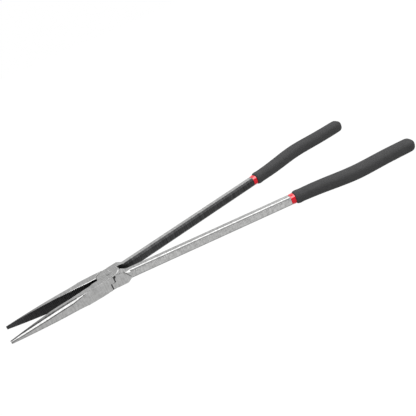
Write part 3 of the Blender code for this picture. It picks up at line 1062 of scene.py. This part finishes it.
class PLIERS_OT_black_grips(Operator):
    """Draw out the black grips: a bead at the mouth, a bowed palm swell and a round end"""

    bl_idname = "pliers.black_grips"
    bl_label = "Draw out the black grips"

    def execute(self, context):
        piece = self.model(context.scene.pliers_sizes)
        material = black_foam()
        for side in SIDES:
            grip = copy_piece(piece, f"{side}_black_grip")
            put_on_half(grip, side, f"{side}_grip", material)
        bpy.data.objects.remove(piece)
        return {"FINISHED"}

    def model(self, sizes):
        """One grip in the closed tool, drawn out from a rounded plane and smoothed."""
        start = sizes.grip_start
        bore_end = sizes.grip_end - sizes.grip_end_wall
        width, thickness = GRIP_STATIONS[0][1:]
        place = (start, handle_line(start), 0)
        bpy.ops.mesh.primitive_plane_add(size=1, location=place, rotation=(0, math.radians(-90), 0))
        piece = name_new_piece("black_grip")
        piece.scale = (thickness, width, 1)
        bpy.ops.object.transform_apply(location=True, rotation=True, scale=True)
        bpy.ops.object.mode_set(mode="EDIT")
        bpy.ops.mesh.select_all(action="SELECT")
        bpy.ops.mesh.bevel(offset=GRIP_CORNER, segments=7, affect="VERTICES")
        bpy.ops.mesh.select_all(action="SELECT")
        here = start
        for share, next_width, next_thickness in GRIP_STATIONS[1:]:
            there = start + (bore_end - start) * share
            draw_out(here, there, next_width / width, next_thickness / thickness)
            width, thickness = next_width, next_thickness
            here = there
        self.round_end(bore_end, sizes.grip_end_wall)
        bpy.ops.mesh.select_all(action="SELECT")
        bpy.ops.mesh.normals_make_consistent(inside=False)
        bpy.ops.object.mode_set(mode="OBJECT")
        apply_modifier(piece, "SUBSURF", levels=1, render_levels=1)
        bpy.ops.object.shade_smooth_by_angle(angle=math.radians(50))
        return piece

    def round_end(self, bore_end, wall):
        """Closes the grip past its bore with a round end, drawn in step by step."""
        here = bore_end
        shrink = 1.0
        for step in range(1, GRIP_END_STEPS + 1):
            angle = GRIP_END_TURN * step / GRIP_END_STEPS
            there = bore_end + wall * math.sin(angle)
            grow = math.cos(angle) / shrink
            draw_out(here, there, grow, grow)
            shrink = math.cos(angle)
            here = there


# ---------------------------------------------------------------- the stage


def floor_paint(stage):
    """White floor that still takes a little of the tool's shadow."""
    material = bpy.data.materials.new("White floor")
    graph = Graph(material)
    seen, mirrored = graph.rays()
    grey = 0.55
    plain = graph.add("ShaderNodeBsdfDiffuse", {}, {"Color": (grey, grey, grey, 1)})
    # The glow covers all but a twentieth of the plain paint, so it is a little brighter to the eye
    cover = 0.95
    eye_level = stage.white * 1.06
    mirror_level = 0.84
    level = seen * eye_level + mirrored * mirror_level
    white = graph.add("ShaderNodeEmission", {}, {"Color": (1, 1, 1, 1), "Strength": level})
    sockets = {0: (seen + mirrored) * cover, 1: plain, 2: white}
    graph.finish(graph.add("ShaderNodeMixShader", {}, sockets))
    return material


def light_surroundings(stage):
    """White backdrop to the eye, even fill on the tool, and a studio's light and dark in its gloss."""
    world = bpy.data.worlds.new("Studio")
    bpy.context.scene.world = world
    graph = Graph(world)
    seen, mirrored = graph.rays()
    right, depth, height = graph.parts(graph.add("ShaderNodeTexCoord", out="Generated"))
    round_x = graph.add("ShaderNodeMath", {"operation": "ARCTAN2"}, {0: height, 1: depth})
    turn = round_x / (2 * math.pi) + 0.5
    # Half a turn is the backdrop's horizon, three quarters is overhead, and a whole turn is in front
    room = graph.ramp(turn, (
        (0.00, 0.10), (0.06, 0.35), (0.25, 0.37), (0.50, 0.37),
        (0.60, 0.36), (0.66, 0.06), (0.735, 0.08), (0.755, 1.12), (0.86, 1.12), (0.89, 0.08), (1.00, 0.05),
    ))
    side_panel = graph.ramp(right, ((0.28, 0.0), (0.38, 0.9))) * graph.ramp(height, ((0.38, 0), (0.52, 1)))
    gloss = graph.add("ShaderNodeMath", {"operation": "MAXIMUM"}, {0: room, 1: side_panel})
    above = graph.ramp(height, ((0.0, 0.12), (0.6, 1.25)))
    gloss_level = 2.0
    even = (1.0 - seen - mirrored) * above * stage.fill
    strength = seen * stage.white + mirrored * gloss * gloss_level + even
    background = graph.add("ShaderNodeBackground", {}, {"Color": (1, 1, 1, 1), "Strength": strength})
    graph.add("ShaderNodeOutputWorld", {}, {"Surface": background})


def add_lightbox(name, place, aim, size, power):
    """Adds a rectangular lamp that lights the tool but doesn't show in its gloss."""
    bpy.ops.object.light_add(type="AREA", location=place)
    lamp = bpy.context.object
    lamp.name = name
    lamp.data.shape = "RECTANGLE"
    lamp.data.size = size[0]
    lamp.data.size_y = size[1]
    lamp.data.energy = power
    lamp.visible_glossy = False
    lamp.rotation_euler = (aim - Vector(place)).to_track_quat("-Z", "Y").to_euler()


def add_camera(stage):
    """Adds the camera from its place, heading, dip and roll."""
    place = PIVOT + Vector(stage.camera_place)
    level = math.cos(stage.camera_dip)
    look = Vector((
        math.sin(stage.camera_turn) * level,
        math.cos(stage.camera_turn) * level,
        -math.sin(stage.camera_dip),
    ))
    bpy.ops.object.camera_add(location=place)
    camera = bpy.context.object
    camera.name = "Camera"
    roll = Matrix.Rotation(-stage.camera_roll, 3, "Z")
    camera.rotation_euler = (look.to_track_quat("-Z", "Y").to_matrix() @ roll).to_euler()
    camera.data.sensor_width = 36
    camera.data.lens = stage.lens
    camera.data.clip_end = 20
    bpy.context.scene.camera = camera


class PLIERS_OT_stage(Operator):
    """Set the stage: white floor and backdrop, an overhead lightbox and the camera"""

    bl_idname = "pliers.stage"
    bl_label = "Set the stage"

    def execute(self, context):
        stage = context.scene.pliers_stage
        context.scene.view_settings.view_transform = "Standard"
        bpy.ops.mesh.primitive_plane_add(size=12, location=(0, 0, -stage.drop))
        floor = name_new_piece("floor")
        floor.data.materials.append(floor_paint(stage))
        light_surroundings(stage)
        middle = (CAD_BOX[0] + CAD_BOX[1]) / 2
        add_lightbox("overhead", (0.0, -0.55, 1.25), middle, (1.2, 0.6), stage.lightbox)
        add_camera(stage)
        return {"FINISHED"}


# ---------------------------------------------------------------- the add-on


PIECES = (PLIERS_OT_steel_halves, PLIERS_OT_rivet, PLIERS_OT_red_sleeves, PLIERS_OT_black_grips)


class PLIERS_PT_sidebar(Panel):
    """Lists the settings and the steps that dress the pliers"""

    bl_idname = "PLIERS_PT_sidebar"
    bl_label = "Long-reach pliers"
    bl_space_type = "VIEW_3D"
    bl_region_type = "UI"
    bl_category = "Pliers"

    def draw(self, context):
        layout = self.layout
        for group in (context.scene.pliers_sizes, context.scene.pliers_colours, context.scene.pliers_stage):
            column = layout.column()
            for name in group.bl_rna.properties.keys():
                if name not in ("rna_type", "name"):
                    column.prop(group, name)
        for operator in (*PIECES, PLIERS_OT_stage):
            layout.operator(operator.bl_idname)


CLASSES = (PliersSizes, PliersColours, PliersStage, *PIECES, PLIERS_OT_stage, PLIERS_PT_sidebar)


def register():
    """Adds the classes, and their settings to every scene."""
    for entry in CLASSES:
        bpy.utils.register_class(entry)
    bpy.types.Scene.pliers_sizes = PointerProperty(type=PliersSizes)
    bpy.types.Scene.pliers_colours = PointerProperty(type=PliersColours)
    bpy.types.Scene.pliers_stage = PointerProperty(type=PliersStage)


def unregister():
    """Takes the settings and the classes away again."""
    del bpy.types.Scene.pliers_stage
    del bpy.types.Scene.pliers_colours
    del bpy.types.Scene.pliers_sizes
    for entry in reversed(CLASSES):
        bpy.utils.unregister_class(entry)


def main():
    """Sets the stage, dresses the part and keeps its sizes."""
    register()
    bpy.ops.pliers.stage()
    bpy.ops.pliers.steel_halves()
    bpy.ops.pliers.rivet()
    bpy.ops.pliers.red_sleeves()
    bpy.ops.pliers.black_grips()


if __name__ == "__main__":
    main()
